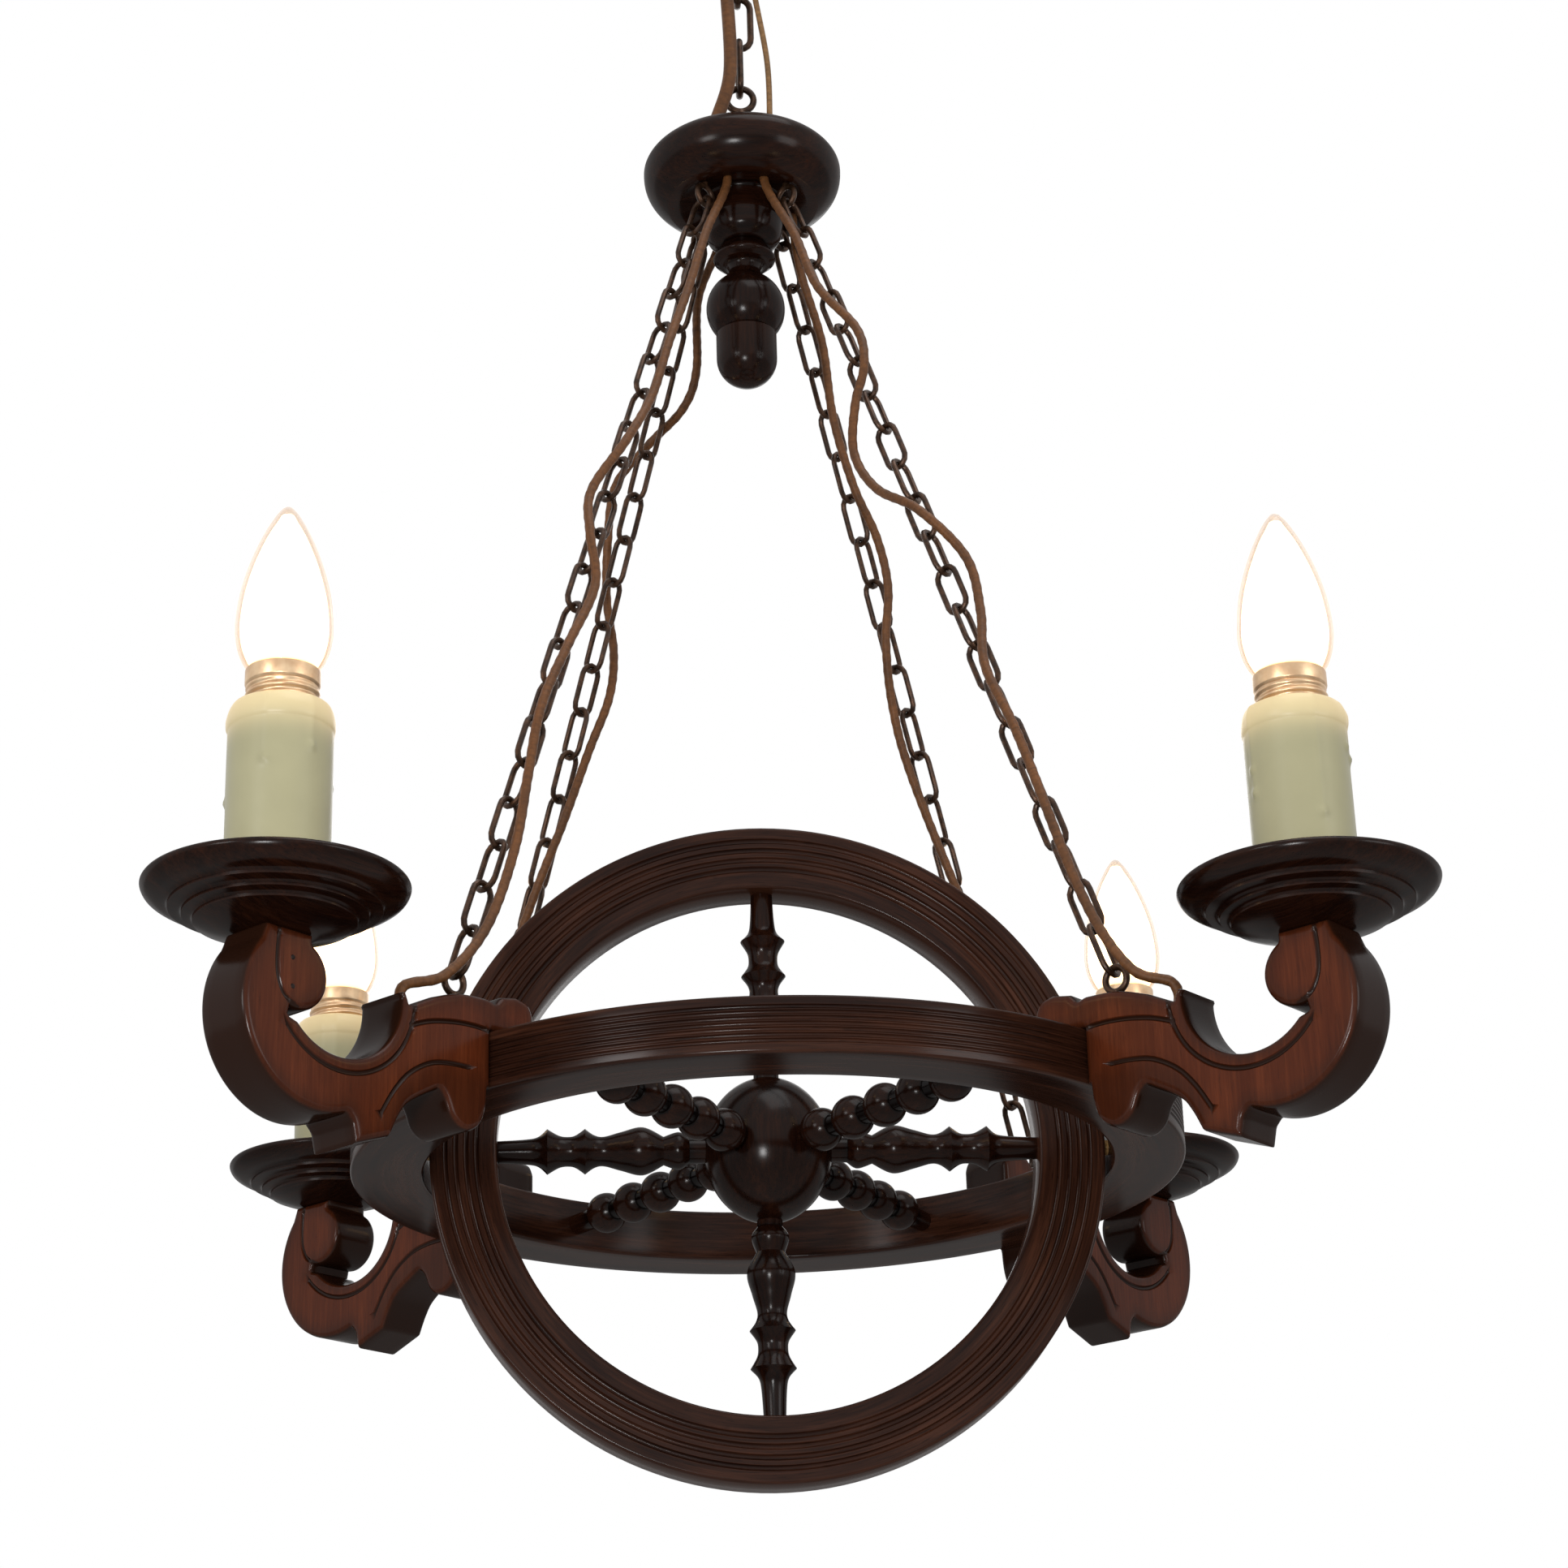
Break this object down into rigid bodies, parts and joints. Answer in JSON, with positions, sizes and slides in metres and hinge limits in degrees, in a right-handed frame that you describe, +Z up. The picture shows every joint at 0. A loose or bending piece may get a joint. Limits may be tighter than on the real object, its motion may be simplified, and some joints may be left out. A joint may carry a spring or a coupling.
{
  "type": "chandelier",
  "caption": "Hanging chandelier in dark turned wood: a flat reeded ring crossed by an upright spoked ring, carved scroll arms with candle bulbs, and chains to a round canopy with a finial.",
  "frame": {"origin": "middle of the ceiling plate's top face, midway between its two screw holes", "axes": "+Z up into the ceiling, +X to the right, -Y to the front; the upright ring faces the front"},
  "size_m": [0.4518, 0.4518, 0.7188],
  "materials": {
    "dark_wood": "gloss varnish over a near-black brown stain",
    "ring_wood": "satin varnish over a dark brown stain",
    "arm_wood": "satin varnish over a reddish brown stain",
    "beech_dowel": "bare wood",
    "bronze_steel": "dark bronze lacquer",
    "steel": "zinc plated",
    "nail_steel": "blackened",
    "brass": "satin",
    "cap_brass": "bright",
    "brown_cord": "matt brown sheath",
    "white_plastic": "moulded",
    "candle_plastic": "wax-like, cream",
    "bulb_glass": "clear glass, lit"
  },
  "bodies": {
    "ceiling": {"ceiling_plate": "steel", "ceiling_hook": "steel"},
    "link": {"suspension_link_top": "bronze_steel"},
    "lamp": {"cord_connector": "white_plastic", "supply_cord": "brown_cord", "earth_wire": "brown_cord", "suspension_links": "bronze_steel", "canopy_eye": "bronze_steel", "canopy_lid": "dark_wood", "canopy_disc": "dark_wood", "canopy_terminal": "white_plastic", "canopy_rod": "steel", "finial": "dark_wood", "canopy_hooks": "bronze_steel", "chain_fl": "bronze_steel", "chain_fr": "bronze_steel", "chain_bl": "bronze_steel", "chain_br": "bronze_steel", "cord_fl": "brown_cord", "cord_fr": "brown_cord", "cord_bl": "brown_cord", "cord_br": "brown_cord", "arm_hooks": "bronze_steel", "arm_fl": "arm_wood", "arm_fr": "arm_wood", "arm_bl": "arm_wood", "arm_br": "arm_wood", "arm_dowels": "beech_dowel", "scroll_nails": "nail_steel", "rim_horizontal": "ring_wood", "rim_vertical": "ring_wood", "rim_dowels": "beech_dowel", "hub_ball": "dark_wood", "spoke_left": "dark_wood", "spoke_right": "dark_wood", "spoke_top": "dark_wood", "spoke_bottom": "dark_wood", "bobbin_fl": "dark_wood", "bobbin_fr": "dark_wood", "bobbin_bl": "dark_wood", "bobbin_br": "dark_wood", "drip_pan_fl": "dark_wood", "drip_pan_fr": "dark_wood", "drip_pan_bl": "dark_wood", "drip_pan_br": "dark_wood", "lamp_nipples": "brass", "lamp_nuts": "brass", "lamp_holders": "white_plastic", "candle_sleeve_fl": "candle_plastic", "candle_sleeve_fr": "candle_plastic", "candle_sleeve_bl": "candle_plastic", "candle_sleeve_br": "candle_plastic"},
    "bulb_fl": {"bulb_cap_fl": "cap_brass", "bulb_glass_fl": "bulb_glass"},
    "bulb_fr": {"bulb_cap_fr": "cap_brass", "bulb_glass_fr": "bulb_glass"},
    "bulb_bl": {"bulb_cap_bl": "cap_brass", "bulb_glass_bl": "bulb_glass"},
    "bulb_br": {"bulb_cap_br": "cap_brass", "bulb_glass_br": "bulb_glass"}
  },
  "joints": [
    {"name": "link_swing", "type": "hinge", "parent": "ceiling", "child": "link", "pos_m": [0, 0, -0.027], "axis": [1, 0, 0], "range_deg": [-15, 15]},
    {"name": "lamp_swing", "type": "hinge", "parent": "link", "child": "lamp", "pos_m": [0, 0, -0.0506], "axis": [0, 1, 0], "range_deg": [-15, 15]},
    {"name": "bulb_turn_fl", "type": "hinge", "parent": "lamp", "child": "bulb_fl", "pos_m": [-0.1796, -0.1796, -0.5], "axis": [0, 0, 1], "range_deg": [0, 1440]},
    {"name": "bulb_turn_fr", "type": "hinge", "parent": "lamp", "child": "bulb_fr", "pos_m": [0.1796, -0.1796, -0.5], "axis": [0, 0, 1], "range_deg": [0, 1440]},
    {"name": "bulb_turn_bl", "type": "hinge", "parent": "lamp", "child": "bulb_bl", "pos_m": [-0.1796, 0.1796, -0.5], "axis": [0, 0, 1], "range_deg": [0, 1440]},
    {"name": "bulb_turn_br", "type": "hinge", "parent": "lamp", "child": "bulb_br", "pos_m": [0.1796, 0.1796, -0.5], "axis": [0, 0, 1], "range_deg": [0, 1440]}
  ]
}
